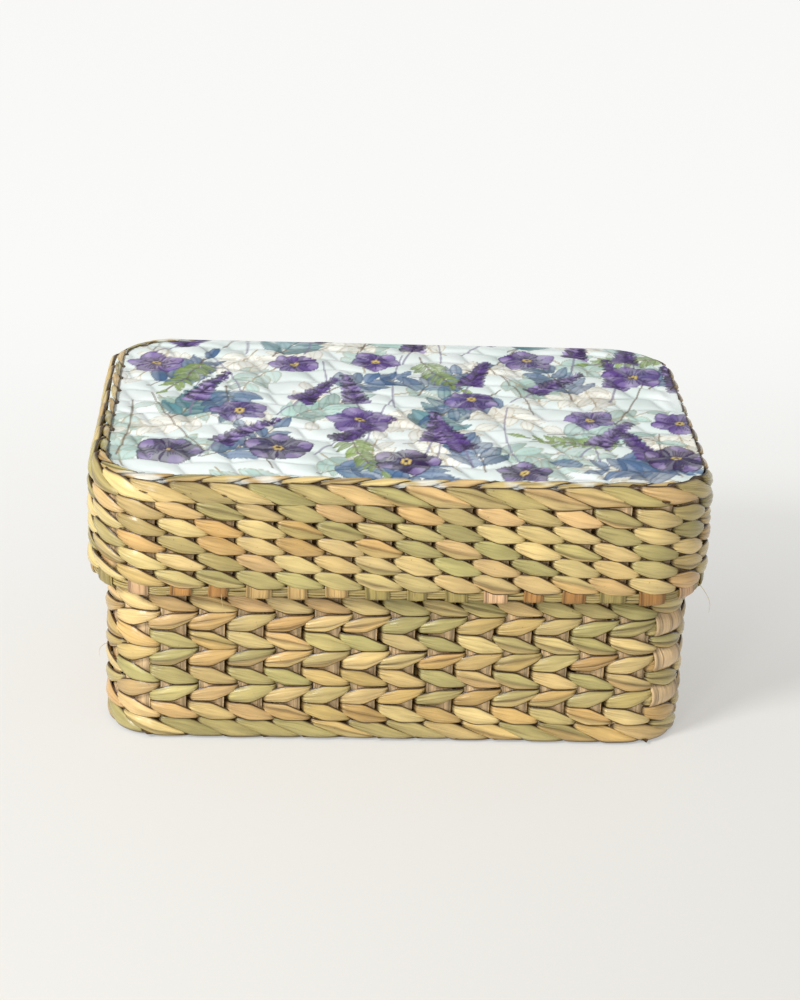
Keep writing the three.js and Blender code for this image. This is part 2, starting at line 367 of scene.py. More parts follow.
def leaf_shape(lay, front, behind):
    """Give half the reed's height along its way, how far it stands out and how far it has climbed.

    Its upper edge lies along the row and then falls to the tip. Its lower edge falls from the blunt end and
    then lies along the row. A slant of 1 turns the leaf upside down.
    """
    upper = lay.half - (2 * lay.half - lay.tip) * ramp((front - lay.flat) / (1 - lay.flat))
    lower = (2 * lay.half - lay.blunt) * ramp(1 - front / lay.low) - lay.half
    start = lay.half - lay.blunt / 2
    end = lay.tip / 2 - lay.half
    turned = np.clip(np.sin(math.pi * behind), 0, 1)
    neck = (lay.tip + (lay.blunt - lay.tip) * behind) / 2
    hidden_half = neck + (lay.back_height * lay.half - neck) * turned ** 0.5
    half_high = np.where(behind > 0, hidden_half, (upper - lower) / 2)
    outer = 1.12 * np.tanh(front / lay.come) * np.tanh((1 - front) / lay.dive) - 0.12
    reach = lay.reach * np.where(behind > 0, -0.12 - 0.88 * turned ** 0.7, outer)
    reach = reach + lay.belly * np.sin(math.pi * front) * (behind == 0)
    middle = np.where(behind > 0, end + (start - end) * smooth(behind), (upper + lower) / 2)
    return half_high, reach, -lay.slant * middle


def reed_tints(rng, colours, leaves):
    """Give the colour of each leaf along a strand that is pieced together from several reeds."""
    family = np.array([colours.straw, colours.straw, colours.olive, colours.olive, colours.tan,
                       colours.blush])
    tints = np.empty((leaves, 3))
    leaf = 0
    while leaf < leaves:
        run = rng.integers(3, 9)
        first, second = rng.integers(len(family), size=2)
        tints[leaf:leaf + run] = family[first] * 0.8 + family[second] * 0.2
        leaf += run
    odd = family[rng.integers(len(family), size=leaves)]
    share = 0.55 * (rng.random((leaves, 1)) < 0.3)
    tints = tints * (1 - share) + odd * share
    return tints * rng.uniform(0.80, 1.10, (leaves, 1)) * rng.uniform(0.98, 1.02, (leaves, 3))


def twined_strand(reeds, path, lay, strand, level, starts, rng, colours, offset=None):
    """Lay one reed of a row: over its stakes, down between two of them, behind the next and up again.

    A row across a mat has two ends. offset moves a row out of its place, given its points.
    """
    stations = leaf_way(lay)
    leaves = math.ceil(starts / lay.strands)
    number = np.arange(leaves) + leaves // 2 if path.closed else np.arange(-1, leaves + 1)
    leaf = np.append(np.repeat(number, len(stations)), number[-1] + 1)
    way = np.append(np.tile(stations, len(number)), 0.0)
    outside = lay.outside * lay.strands
    steps = leaf * lay.strands + strand + (lay.strands - 1) / 2 - outside / 2
    steps = steps + np.minimum(way, 1) * outside + np.clip(way - 1, 0, 1) * (lay.strands - outside)
    if not path.closed:
        kept = (steps >= 0) & (steps <= starts)
        leaf, way, steps = leaf[kept], way[kept], steps[kept]
    front = np.minimum(way, 1)
    behind = np.clip(way - 1, 0, 1)
    half_high, reach, climb = leaf_shape(lay, front, behind)

    # Each leaf differs a little from its neighbours, and changes into the next one behind the stakes.
    mixing = smooth(behind)[:, None]

    def per_leaf(values):
        values = values.reshape(leaves, -1)
        return values[leaf % leaves] * (1 - mixing) + values[(leaf + 1) % leaves] * mixing

    height = per_leaf(rng.uniform(0.95, 1.08, leaves))
    thickness = per_leaf(rng.uniform(0.80, 1.08, leaves))
    wander = per_leaf(rng.normal(0, LEAF_WANDER, leaves))
    twist = per_leaf(rng.normal(0, LEAF_TWIST, leaves))
    slip = per_leaf(rng.normal(0.04, 0.025, leaves))
    folded = per_leaf((rng.random(leaves) < FOLDED_SHARE).astype(float))
    fold_at = per_leaf(rng.uniform(0.40, 0.66, leaves))
    pleat = per_leaf(rng.uniform(0, math.pi, leaves))
    tints = reed_tints(rng, colours, leaves)
    other = reed_tints(rng, colours, leaves)

    # The reed's section: a flat lens with crisp edges, pleated where it is gathered.
    angle = np.concatenate([np.arange(lay.front_sides) / lay.front_sides,
                            1 + np.arange(lay.back_sides + 1) / lay.back_sides])[None, :] * math.pi
    across = angle / math.pi
    share = np.cos(angle)
    lens = 1 - np.abs(share) ** 2.8
    gathered = (1 - half_high / half_high.max())[:, None]
    groove = folded * np.exp(-((across - fold_at) / 0.07) ** 2) * (1 - gathered) ** 0.5
    pleats = np.abs(np.sin(5.5 * angle + pleat + 0.6 * np.sin(2 * angle + pleat))) - 0.6
    fan = np.exp(-front / 0.26)[:, None] + 0.7 * np.exp((front - 1) / 0.15)[:, None]
    drawn = smooth(np.minimum(front, 1 - front) / 0.09)[:, None]
    half_thick = lay.thick * (1 - 0.35 * gathered * front[:, None]) * thickness
    out = half_thick * (np.where(across < 1, lens, -0.55 * lens) - 0.45 * groove
                        + (0.03 + 0.55 * fan * drawn) * pleats * lens ** 0.5)
    up = half_high[:, None] * share * height
    out, up = out * np.cos(twist) - up * np.sin(twist), out * np.sin(twist) + up * np.cos(twist)

    # The reed's way: out and in through the wall, and up or down across the row.
    if not path.closed:
        ends = smooth(np.minimum(steps, starts - steps) / 0.14)[:, None]
        ends[[0, -1]] = 0
        out, up = out * ends, up * ends
    out = out + reach[:, None]
    up = up + climb[:, None] + wander
    base, facing = path.at((steps + slip[:, 0]) / starts * path.length)
    facing = np.concatenate([facing, np.zeros((len(steps), 1))], axis=1)
    upright = np.array([0.0, 0.0, 1.0])
    out_axis = facing * math.cos(lay.tilt) + upright * math.sin(lay.tilt)
    up_axis = upright * math.cos(lay.tilt) - facing * math.sin(lay.tilt)
    middle = np.concatenate([base, np.full((len(steps), 1), level)], axis=1)
    if offset:
        middle = middle + offset(middle)
    points = middle[:, None, :] + out[..., None] * out_axis[:, None, :]
    points = points + up[..., None] * up_axis[:, None, :]

    tint = per_leaf(tints)[:, None, :] * np.ones((1, angle.shape[1], 1))
    over = (folded * smooth((across - fold_at) / 0.06))[..., None] * 0.7
    tint = tint * (1 - over) + per_leaf(other)[:, None, :] * over
    # Painted shade: dark lines at the leaf's edges and ends, where it meets its neighbours and dives between
    # the stakes, partly real browning of the edges, and darkening in the pleats' valleys and along a fold.
    dark_ends = np.exp(-(front / END_LINE) ** 2) + 0.8 * np.exp(-((1 - front) / END_LINE) ** 2)
    outline = EDGE_LINE * min(lay.half, 3.7 * MM)
    from_edge = (1 - np.abs(share)) * np.maximum(half_high, 0.5 * lay.half)[:, None]
    shade_and_stain = smooth((outline - from_edge) / (0.6 * outline)) + dark_ends[:, None] + 0.5 * groove
    shade_and_stain = np.clip(shade_and_stain + 0.8 * fan * np.clip(-2.5 * pleats - 0.6, 0, 1), 0, 0.95)[..., None]
    tint = tint * (1 - shade_and_stain) + np.array(colours.shade_and_speck) * shade_and_stain
    wear = np.clip(0.7 * fan + 0.3 * gathered + 0.6 * groove, 0, 1)
    grain = np.stack(np.broadcast_arrays(steps[:, None] + 61.7 * strand + level * 900, across / 2), axis=-1)
    reeds.add(points, grain, tint, wear)


def twined_row(path, lay, level, starts, rng, colours, offset=None):
    """Twine all the strands of a row round a wall."""
    reeds = Reeds()
    for strand in range(lay.strands):
        twined_strand(reeds, path, lay, strand, level, starts, rng, colours, offset=offset)
    return reeds


def node_middle(node):
    """Give the height of the middle of a node."""
    low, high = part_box(node)
    return (low[2] + high[2]) / 2


# Stakes and rims


def rounded_line(points, rounds=2):
    """Round the corners of a line by cutting each of them off again and again."""
    line = np.array(points, dtype=float)
    for _ in range(rounds):
        near = 0.75 * line[:-1] + 0.25 * line[1:]
        far = 0.25 * line[:-1] + 0.75 * line[1:]
        cut = np.stack([near, far], axis=1).reshape(-1, line.shape[1])
        line = np.concatenate([line[:1], cut, line[-1:]])
    return line


def ribbon(reeds, path, distance, line, width, thickness, tint, rng, sides=16):
    """Sweep a flat stake along a line of points given as distance out of the wall and height."""
    line = rounded_line(line)
    run = np.gradient(line, axis=0)
    run /= np.linalg.norm(run, axis=1, keepdims=True)
    angle = 2 * math.pi * np.linspace(0, 1, sides + 1)[None, :]
    across = np.sign(np.cos(angle)) * np.abs(np.cos(angle)) ** 0.6
    through = np.sign(np.sin(angle)) * np.abs(np.sin(angle)) ** 0.6
    ridges = 1 + 0.18 * np.sin(7 * angle + rng.uniform(0, 6))
    ends = np.ones((len(line), 1))
    ends[[0, -1]] = 0
    ends[[1, -2]] = 0.8
    stray = rounded_line(rng.normal(0, 0.3 * MM, (4, 1)))
    stray = np.interp(np.linspace(0, 1, len(line)), np.linspace(0, 1, len(stray)), stray[:, 0])[:, None]
    wide = across * width(line)[:, None] / 2 * ends + stray
    deep = through * ridges * thickness / 2 * ends
    base, facing = path.at(distance + wide.ravel())
    facing = np.concatenate([facing, np.zeros((len(facing), 1))], axis=1).reshape(*wide.shape, 3)
    base = np.concatenate([base, np.zeros((len(base), 1))], axis=1).reshape(*wide.shape, 3)
    outward = line[:, 0:1] + deep * run[:, 1:2]
    upward = line[:, 1:2] - deep * run[:, 0:1]
    points = base + outward[..., None] * facing + upward[..., None] * np.array([0.0, 0.0, 1.0])
    steps = np.linalg.norm(np.diff(line, axis=0), axis=1)
    along = np.concatenate([[0], np.cumsum(steps)])[:, None] / GRAIN_LENGTH + rng.uniform(0, 400)
    grain = np.stack(np.broadcast_arrays(along, angle / (2 * math.pi)), axis=-1)
    strip = 1 - 0.52 * np.exp(-((np.abs(across) - 0.80) / 0.10) ** 2) + 0.10 * (np.abs(across) > 0.93)
    reeds.add(points, grain, tint(line)[:, None, :] * strip[..., None], 0.35)


def over_every_other_row(weave):
    """Give the way of a stake that lies over every other row, up to where the lid begins."""
    lid_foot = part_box("lid_rim_reed_lower")[0][2]
    line = []
    row = 1
    while node_middle(f"box_row_{row:02d}_outer") + weave.leaf_height / 2 < lid_foot:
        level = node_middle(f"box_row_{row:02d}_outer")
        out = weave.stake_out if row % 2 else weave.half_wall + weave.belly
        line += [(out, level - 2.2 * MM), (out, level + 2.2 * MM)]
        row += 1
    return np.array(line)


def stake_line(start, end):
    """Give a stake's way along a wall and round its rim, as distances out of the wall and heights."""
    way = math.copysign(MM, end - start)
    return [(0, start + 1.6 * way), (0, start + 9 * way), (0, end - 14 * way), (0, end - 6 * way),
            (0, end - 0.6 * way), (0.9 * MM, end + 0.1 * way), (2.5 * MM, end - 0.4 * way),
            (2.6 * MM, end - 3 * way), (2.5 * MM, end - 4.6 * way), (1.7 * MM, end - 6 * way)]


def stake_piece(weave, colours, owner, line, rim_from, way):
    """Make all the stakes of a wall. line gives the way of a stake, and its end wraps round the rim."""
    path = wall_path(weave, owner)
    count = stake_count(weave, path)
    rng = np.random.default_rng(weave.seed + (1 if owner == "box" else 2))
    wraps = np.array([colours.wrap_tan, colours.wrap_pale, colours.wrap_brown, colours.wrap_olive])
    reeds = Reeds()
    for stake in range(count):
        distance = (stake + 0.5) * path.length / count
        cornered = path.from_corner(distance) < 16 * MM
        pith = np.array(colours.stake) * rng.uniform(0.85, 1.12)
        wrap = wraps[rng.integers(len(wraps))] * rng.uniform(0.8, 1.05)
        broad = weave.stake_width * rng.uniform(0.95, 1.08) * (1.25 if cornered else 1.0)
        wrap_broad = weave.stake_width * rng.uniform(0.72, 1.02)

        def at_rim(points):
            return smooth(((points[:, 1] - rim_from) * way + 1 * MM) / (2 * MM))

        def tint(points):
            share = at_rim(points)[:, None]
            return pith * (1 - share) + wrap * share

        def width(points):
            share = at_rim(points)
            return broad * (1 - share) + wrap_broad * share

        shifted = np.array(line)
        shifted[-5:, 1] += rng.normal(0, 0.35 * MM)
        shifted[:3, 0] += weave.stake_out
        at_corner = abs(distance + path.shift - path.centre_x - path.bend / 2) < path.length / count / 2
        if owner == "box" and at_corner:
            shifted = np.concatenate([shifted[:1], over_every_other_row(weave), shifted[2:]])
            pith = pith * 0.8
        ribbon(reeds, path, distance, shifted, width, weave.stake_thickness, tint, rng)
    return reeds


def rim_reed(reeds, path, count, middle, radius, tint, shade_and_speck, rng):
    """Lay one thin reed round a rim, slack between the wraps by a different amount in each gap."""
    steps = np.linspace(count / 2, count * 1.5, count * 8 + 1)
    base, facing = path.at(steps / count * path.length)
    gap = np.floor(steps + 0.5).astype(int) % count
    slack = 0.5 + 0.5 * np.cos(2 * math.pi * steps)
    down = slack * rng.uniform(-0.1, 0.7, count)[gap] * MM
    forth = slack * rng.uniform(0.0, 0.5, count)[gap] * MM
    swing = rng.uniform(0, 2 * math.pi, 3)
    turn = 2 * math.pi * steps / count
    wave = 0.12 * MM * (np.sin(7 * turn + swing[0]) + np.sin(11 * turn + swing[1]))
    side = np.linspace(0, 1, 13)[None, :]
    angle = 2 * math.pi * side
    uneven = 1 + 0.10 * np.sin(3 * angle + 2 * turn[:, None]) + 0.08 * np.sin(9 * turn + swing[2])[:, None]
    size = radius * uneven
    facing = np.concatenate([facing, np.zeros((len(steps), 1))], axis=1)
    centre = np.concatenate([base, np.full((len(steps), 1), middle[1])], axis=1)
    centre = centre + (middle[0] + forth + 0.4 * wave)[:, None] * facing
    centre[:, 2] += wave - down
    points = centre[:, None, :] - (size * np.cos(angle))[..., None] * facing[:, None, :]
    points = points + (size * np.sin(angle))[..., None] * np.array([0.0, 0.0, 1.0])
    grain = np.stack(np.broadcast_arrays(steps[:, None] + rng.uniform(0, 400), side), axis=-1)
    shade = 1 + 0.12 * np.sin(5 * turn + swing[1])[:, None, None]
    # Painted shade: the reed darkens along its top and bottom, where it meets the other reed and the wraps.
    shade_and_stain = 0.9 * smooth((np.abs(np.sin(angle)) - 0.50) / 0.3)[..., None]
    reeds.add(points, grain, np.array(tint) * shade * (1 - shade_and_stain) + shade_and_speck * shade_and_stain, 0.2)


def make_rim_reeds(weave, colours, owner):
    """Make the two bundles of thin reeds that lie in the wraps of a rim."""
    path = wall_path(weave, owner)
    count = stake_count(weave, path)
    for index, part in enumerate(("lower", "upper")):
        node = f"{owner}_rim_reed_{part}"
        low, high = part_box(node)
        rng = np.random.default_rng(weave.seed + 40 + index + (2 if owner == "lid" else 0))
        reeds = Reeds()
        quarter = (high[2] - low[2]) / 4
        for place in (-1, 1):
            middle = (1.35 * MM, (low[2] + high[2]) / 2 + place * 1.1 * quarter)
            tint = np.array(colours.rim) * rng.uniform(0.82, 1.1)
            rim_reed(reeds, path, count, middle, 0.66 * MM, tint, np.array(colours.shade_and_speck), rng)
        reeds.make(f"{owner}_rim_bundle_{part}", rim_material(colours), owner, "rim_reed", node)


def loose_fibre(reeds, points, thick, tint):
    """Add a fine loose fibre along a line, drawn down to a point at its end."""
    line = rounded_line(np.array(points) * MM, rounds=3)
    run = np.gradient(line, axis=0)
    side = np.cross(run, (0.2, 1.0, 0.3))
    side /= np.linalg.norm(side, axis=1, keepdims=True)
    other = np.cross(run / np.linalg.norm(run, axis=1, keepdims=True), side)
    size = thick / 2 * np.linspace(1.0, 0.3, len(line))
    size[[0, -1]] = 0
    angle = np.linspace(0, 2 * math.pi, 7)
    ring = np.cos(angle)[None, :, None] * side[:, None, :] + np.sin(angle)[None, :, None] * other[:, None, :]
    grain = np.stack(np.broadcast_arrays(np.arange(len(line))[:, None] / 40, angle[None, :] / 7), axis=-1)
    reeds.add(line[:, None, :] + size[:, None, None] * ring, grain, np.array(tint), 0.2)


# Mats


def mat_piece(weave, colours, level, reach, half_x, half_y, corner, seed):
    """Twine a mat's rows, which run along the box, over flat stakes that cross them."""
    rng = np.random.default_rng(weave.seed + seed)
    beside = math.ceil(half_y / weave.mat_row)
    pitch = half_y / beside
    reeds = Reeds()
    thick = reach * 0.5
    lay = Lay(strands=2, half=weave.lid_leaf_height / 2, reach=reach - thick, blunt=weave.blunt_height,
              tip=weave.tip_height, thick=thick, slant=-1, tilt=math.pi / 2,
              showing=9, hidden=5, front_sides=8, back_sides=5,
              back_height=weave.back_height / weave.lid_leaf_height)
    for row in range(-beside, beside + 1):
        y = row * pitch
        inset = corner_inset(abs(y) - 1.5 * MM, half_y, corner)
        reach_x = half_x - inset
        path = MatPath(-reach_x, y, 2 * reach_x)
        for strand in range(2):
            twined_strand(reeds, path, lay, strand, level, path.length / weave.stake_step, rng, colours)
    return reeds


def corner_inset(y, half_y, radius):
    """Give how far a rounded corner draws a mat's row in from its end."""
    beyond = max(0.0, y - (half_y - radius))
    return radius - math.sqrt(max(0.0, radius * radius - beyond * beyond))


def mat_stakes(reeds, weave, colours, level, half_x, half_y, corner, rng):
    """Lay the flat stakes that cross a mat from front to back."""
    count = int(2 * (half_x - 8 * MM) / weave.stake_step)
    path = MatPath(0.0, 0.0)
    for i in range(count):
        x = (i - (count - 1) / 2) * weave.stake_step
        deep = half_y - corner_inset(abs(x) + weave.stake_width / 2, half_x, corner)
        line = [(-deep, level), (-deep / 2, level), (deep / 2, level), (deep, level)]
        pith = np.array(colours.stake) * rng.uniform(0.85, 1.1)

        def broad(points):
            return np.full(len(points), weave.stake_step)

        def tint(points, pith=pith):
            return np.broadcast_to(pith, (len(points), 3))

        ribbon(reeds, path, x, line, broad, weave.stake_thickness, tint, rng, sides=10)


# Materials


def new_material(name):
    """Start a material with nothing but its shader and its output."""
    material = bpy.data.materials.new(name)
    material.use_nodes = True
    return material, material.node_tree, material.node_tree.nodes["Principled BSDF"]


def feed(tree, node, *feeds):
    """Feed a node's inputs, each with a value or another node's output. Inputs go by name or by place."""
    for source, key in feeds:
        if isinstance(source, bpy.types.NodeSocket):
            tree.links.new(source, node.inputs[key])
        else:
            node.inputs[key].default_value = source


def add_node(tree, kind, *feeds, **settings):
    """Add a node, set its properties, and its inputs where a name starts with in_, and feed the others."""
    node = tree.nodes.new(kind)
    for key, value in settings.items():
        if key.startswith("in_"):
            node.inputs[key[3:].replace("_", " ")].default_value = value
        else:
            setattr(node, key, value)
    feed(tree, node, *feeds)
    return node


def product(tree, first, second):
    """Multiply two values."""
    return add_node(tree, "ShaderNodeMath", (first, 0), (second, 1), operation="MULTIPLY").outputs[0]


def product_plus(tree, first, second, more):
    """Multiply two values and add a third."""
    feeds = ((first, 0), (second, 1), (more, 2))
    return add_node(tree, "ShaderNodeMath", *feeds, operation="MULTIPLY_ADD").outputs[0]


def ranged(tree, value, low, high, to_low=0.0, to_high=1.0):
    """Carry a value over from one range to another."""
    return add_node(tree, "ShaderNodeMapRange", (value, "Value"), in_From_Min=low, in_From_Max=high,
                    in_To_Min=to_low, in_To_Max=to_high).outputs[0]


def noise(tree, place, scale, detail, roughness=0.5):
    """Give the values of a noise."""
    return add_node(tree, "ShaderNodeTexNoise", (place, "Vector"), in_Scale=scale, in_Detail=detail,
                    in_Roughness=roughness).outputs["Fac"]


def stretched(tree, place, along, across):
    """Scale the grain's places along and across a reed, so that a noise is drawn out along it."""
    return add_node(tree, "ShaderNodeMapping", (place, "Vector"), in_Scale=(along, across, 1.0)).outputs[0]


def mixed(tree, share, first, second):
    """Mix two colours."""
    feeds = ((share, "Factor"), (first, "A"), (second, "B"))
    return add_node(tree, "ShaderNodeMix", *feeds, data_type="RGBA").outputs["Result"]


def brightened(tree, tint, share):
    """Multiply a colour by a value."""
    return add_node(tree, "ShaderNodeVectorMath", (tint, 0), (share, "Scale"), operation="SCALE").outputs[0]


def grain_group():
    """The grain of dried reed: fibres along it, broad streaks, specks, and creases where it is gathered."""
    if GRAIN_GROUP in bpy.data.node_groups:
        return bpy.data.node_groups[GRAIN_GROUP]
    tree = bpy.data.node_groups.new(GRAIN_GROUP, "ShaderNodeTree")
    sockets = (("INPUT", "Color", ("Tint", "Crease")), ("INPUT", "Vector", ("Grain",)),
               ("INPUT", "Float", ("Wear", "Fibres", "Contrast")), ("OUTPUT", "Color", ("Colour",)),
               ("OUTPUT", "Float", ("Roughness", "Height")))
    for way, kind, names in sockets:
        for name in names:
            tree.interface.new_socket(name, in_out=way, socket_type=f"NodeSocket{kind}")
    given = tree.nodes.new("NodeGroupInput").outputs
    place = given["Grain"]

    # Patterns: fine fibres, broad streaks, specks, and pleats where the reed is gathered.
    split = add_node(tree, "ShaderNodeSeparateXYZ", (place, 0)).outputs
    thread = add_node(tree, "ShaderNodeCombineXYZ", (split["X"], "X"),
                      (product(tree, split["Y"], given["Fibres"]), "Y")).outputs[0]
    fibres = noise(tree, thread, scale=1.0, detail=3.0, roughness=0.6)
    streaks = noise(tree, stretched(tree, place, 0.9, 7.0), scale=1.0, detail=2.0)
    specks = noise(tree, stretched(tree, place, 7.0, 9.0), scale=1.6, detail=2.0)
    pleats = noise(tree, stretched(tree, place, 0.5, 30.0), scale=1.0, detail=1.0)
    worn = product_plus(tree, given["Wear"], 1.1, 0.55)

    # Colour: streaks lighten and darken the reed, fibres draw fine dark lines, specks darken.
    lit = brightened(tree, given["Tint"], ranged(tree, streaks, 0.3, 0.7, 0.80, 1.16))
    drawn = product(tree, ranged(tree, fibres, 0.52, 0.70), product(tree, worn, given["Contrast"]))
    lined = mixed(tree, drawn, lit, given["Crease"])
    dotted = mixed(tree, ranged(tree, specks, 0.70, 0.78, 0.0, 0.55), lined, given["Crease"])

    gloss = ranged(tree, fibres, 0.3, 0.7, 0.17, 0.36)
    height = product_plus(tree, product(tree, pleats, given["Wear"]), 5.0, product(tree, fibres, worn))
    out = tree.nodes.new("NodeGroupOutput")
    feed(tree, out, (dotted, "Colour"), (gloss, "Roughness"), (height, "Height"))
    return tree


def reed_material(name, colours, fibres, contrast, relief, specular):
    """Dried reed: its own colours with the grain of the reed, satin where it is smooth."""
    if name in bpy.data.materials:
        return bpy.data.materials[name]
    material, tree, shader = new_material(name)
    tint = add_node(tree, "ShaderNodeAttribute", attribute_name="tint").outputs["Color"]
    wear = add_node(tree, "ShaderNodeAttribute", attribute_name="wear").outputs["Fac"]
    place = add_node(tree, "ShaderNodeUVMap", uv_map="Grain").outputs["UV"]
    grain = add_node(tree, "ShaderNodeGroup", node_tree=grain_group())
    feed(tree, grain, (tint, "Tint"), (wear, "Wear"), (place, "Grain"), (fibres, "Fibres"),
         (contrast, "Contrast"), ((*colours.shade_and_speck, 1.0), "Crease"))
    bump = add_node(tree, "ShaderNodeBump", (grain.outputs["Height"], "Height"), in_Strength=relief,
                    in_Distance=0.35 * MM)
    feed(tree, shader, (grain.outputs["Colour"], "Base Color"), (grain.outputs["Roughness"], "Roughness"),
         (bump.outputs["Normal"], "Normal"), (specular, "Specular IOR Level"), (specular / 2, "Coat Weight"),
         (0.16, "Coat Roughness"))
    return material


def weft_material(colours):
    """The flattened reeds of the twined rows."""
    return reed_material("weft_grain", colours, fibres=42.0, contrast=0.40, relief=0.7, specular=0.4)


def border_material(colours):
    """The reeds of the borders, with the same grain."""
    return reed_material("border_grain", colours, fibres=36.0, contrast=0.42, relief=0.7, specular=0.4)


def stake_material(colours):
    """The pithy, fibrous stakes."""
    return reed_material("stake_pith", colours, fibres=60.0, contrast=0.62, relief=0.8, specular=0.3)


def rim_material(colours):
    """The thin reeds in the rims."""
    return reed_material("rim_grain", colours, fibres=16.0, contrast=0.4, relief=0.5, specular=0.5)


def paper_material():
    """Printed tissue paper, pasted down and varnished."""
    material, tree, shader = new_material("varnished_paper")
    ink = add_node(tree, "ShaderNodeAttribute", attribute_name="tint").outputs["Color"]
    place = add_node(tree, "ShaderNodeTexCoord").outputs["Object"]
    fibre = noise(tree, place, scale=900.0, detail=3.0)
    cloud = noise(tree, place, scale=60.0, detail=3.0)
    tinted = brightened(tree, ink, ranged(tree, cloud, 0.3, 0.7, 0.93, 1.04))
    gloss = ranged(tree, cloud, 0.0, 1.0, 0.50, 0.75)
    bump = add_node(tree, "ShaderNodeBump", (fibre, "Height"), in_Strength=0.25, in_Distance=0.12 * MM)
    feed(tree, shader, (tinted, "Base Color"), (gloss, "Roughness"), (bump.outputs["Normal"], "Normal"),
         (0.3, "Specular IOR Level"))
    return material


# The printed sheet


class Painting:
    """Watercolour washes laid over one another on the points of a sheet."""

    def __init__(self, x, y, paper, rng):
        self.x = x
        self.y = y
        self.colour = np.broadcast_to(np.array(paper), (len(x), 3)).copy()
        self.rng = rng
        waves = rng.uniform(-260, 260, (10, 2))
        starts = rng.uniform(0, 2 * math.pi, 10)
        self.blot = sum(np.sin(x * a + y * b + c) for (a, b), c in zip(waves, starts)) / 5

    def near(self, place, angle, reach):
        """Give the points near a place, and where they lie along and across an angle."""
        dx = self.x - place[0]
        dy = self.y - place[1]
        index = np.nonzero((np.abs(dx) < reach) & (np.abs(dy) < reach))[0]
        along = dx[index] * math.cos(angle) + dy[index] * math.sin(angle)
        across = dy[index] * math.cos(angle) - dx[index] * math.sin(angle)
        return index, along, across

    def wash(self, index, tint, mask):
        """Lay a colour over some points as thickly as the mask says."""
        mask = mask[:, None]
        self.colour[index] = self.colour[index] * (1 - mask) + np.asarray(tint) * mask

    def leaf(self, place, angle, long, wide, tint, strength=0.9, vein=0.4, belly=0.45, line=0.6,
             outline=None):
        """Paint a leaf or petal: a wash with one half in the light, a vein, and a dark line at its edge."""
        index, along, across = self.near(place, angle, 1.05 * long)
        share = np.clip(along / long, 0, 1)
        bow = np.sin(math.pi * share ** (math.log(0.5) / math.log(belly)))
        edge = wide / 2 * bow ** 0.85 - np.abs(across)
        inside = smooth(edge / (0.45 * MM) + 0.5) * (along > 0) * (along < long)
        tint = np.asarray(tint)
        dark = tint * 0.4 if outline is None else np.asarray(outline)
        self.wash(index, tint, np.clip(inside * strength * (0.85 + 0.25 * self.blot[index]), 0, 1))
        self.wash(index, 0.55 * tint + 0.45, inside * 0.3 * smooth(3 * across / wide + 0.2))
        self.wash(index, dark, inside * line * np.exp(-(edge / (0.5 * MM)) ** 2))
        self.wash(index, dark, inside * vein * np.exp(-(across / (0.28 * MM)) ** 2))

    def stroke(self, place, angle, long, bend, wide, tint, strength=0.8):
        """Paint a stem that bends to one side."""
        index, along, across = self.near(place, angle, 1.05 * long)
        share = along / long
        away = np.abs(across - bend * long * share * share)
        inside = smooth((wide / 2 - away) / (0.35 * MM) + 0.5) * (share > 0) * (share < 1)
        self.wash(index, tint, inside * strength)

    def along_stem(self, place, angle, long, bend, share):
        """Give the place and the direction of a bent stem at a share of its length."""
        x = long * share
        y = bend * long * share * share
        turn = angle + math.atan2(2 * bend * share, 1)
        return (place[0] + x * math.cos(angle) - y * math.sin(angle),
                place[1] + x * math.sin(angle) + y * math.cos(angle)), turn

    def sprig(self, place, angle, long, pairs, leaf_long, leaf_wide, bend, tint, stem, **looks):
        """Paint a sprig with pairs of narrow leaves and one at its tip."""
        self.stroke(place, angle, long, bend, 0.8 * MM, stem)
        for pair in range(pairs):
            share = 0.18 + 0.74 * pair / pairs
            spot, turn = self.along_stem(place, angle, long, bend, share)
            grow = 1.1 - 0.5 * share
            for way in (-1, 1):
                lean = way * self.rng.uniform(0.6, 0.95)
                shade = np.asarray(tint) * self.rng.uniform(0.75, 1.25)
                self.leaf(spot, turn + lean, leaf_long * grow, leaf_wide * grow, shade, **looks)
        spot, turn = self.along_stem(place, angle, long, bend, 0.97)
        self.leaf(spot, turn, leaf_long * 0.8, leaf_wide * 0.8, tint, **looks)

    def blossom(self, place, size, turn, petal, tip, heart, anther):
        """Paint a five-petalled blossom with veined petals and a ring of anthers."""
        for i in range(5):
            angle = turn + i * 2 * math.pi / 5
            shade = np.asarray(petal) * self.rng.uniform(0.8, 1.2)
            self.leaf(place, angle, size, size * 0.9, shade, 0.95, vein=0.0, belly=0.62, line=0.7)
            start = (place[0] + 0.5 * size * math.cos(angle), place[1] + 0.5 * size * math.sin(angle))
            self.leaf(start, angle, size * 0.45, size * 0.5, tip, 0.55, vein=0.0, belly=0.6, line=0.0)
            for lean in (-0.30, -0.15, 0.0, 0.15, 0.30):
                long = size * self.rng.uniform(0.5, 0.75)
                self.stroke(place, angle + lean, long, 0.0, 0.45 * MM, heart, 0.7)
        index, along, across = self.near(place, 0.0, size * 0.4)
        middle = smooth((size * 0.17 - np.hypot(along, across)) / (0.6 * MM) + 0.5)
        self.wash(index, heart, middle * 0.9)
        for i in range(6):
            angle = turn + (i + 0.5) * 2 * math.pi / 6
            spot = (place[0] + 0.11 * size * math.cos(angle), place[1] + 0.11 * size * math.sin(angle))
            index, along, across = self.near(spot, 0.0, 3 * MM)
            self.wash(index, anther, smooth((0.7 * MM - np.hypot(along, across)) / (0.5 * MM) + 0.5) * 0.9)

